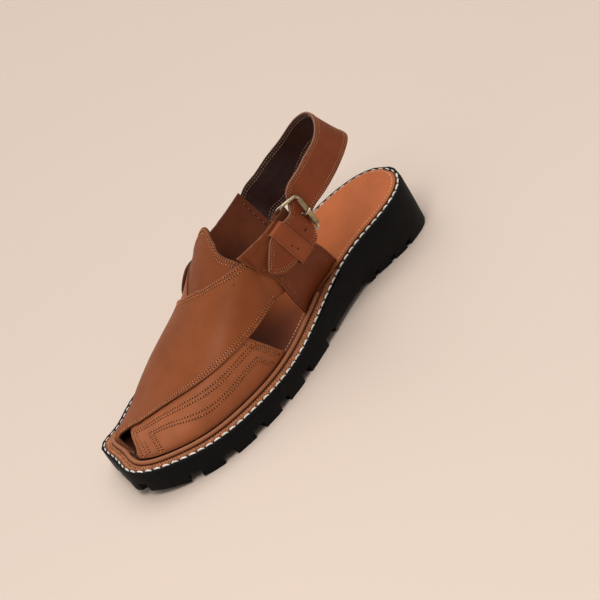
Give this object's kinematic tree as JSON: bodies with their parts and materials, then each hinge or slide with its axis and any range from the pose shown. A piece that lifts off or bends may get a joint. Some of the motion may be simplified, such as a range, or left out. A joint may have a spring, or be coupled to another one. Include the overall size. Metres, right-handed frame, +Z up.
{
  "type": "peshawari chappal sandal",
  "caption": "Leather closed-front slingback sandal for the left foot: crossed front bands, raised tongue, buckled heel strap, stitched welt and a thick lugged rubber sole.",
  "frame": {"origin": "on the floor under the forefoot, on the line that the shoe's width is measured from", "axes": "+Y to the heel, +X to the outer side of the foot, where the buckle is, +Z up"},
  "size_m": [0.1251, 0.2892, 0.119],
  "materials": {
    "outsole_rubber": "matt black",
    "welt_leather": "coarse brown, stitched",
    "insole_leather": "smooth tan",
    "rand_leather": "smooth brown",
    "upper_leather": "smooth brown, soft sheen",
    "heel_strap_leather": "smooth brown, dark lining",
    "keeper_leather": "smooth brown",
    "buckle_frame_brass": "aged, satin",
    "buckle_roller_brass": "aged, satin",
    "buckle_prong_brass": "light, satin"
  },
  "bodies": {
    "root": {"outsole": "outsole_rubber", "welt": "welt_leather", "insole": "insole_leather", "rand": "rand_leather", "upper": "upper_leather", "heel_strap": "heel_strap_leather", "keeper": "keeper_leather", "buckle_frame": "buckle_frame_brass", "buckle_roller": "buckle_roller_brass", "buckle_prong": "buckle_prong_brass"}
  },
  "joints": []
}
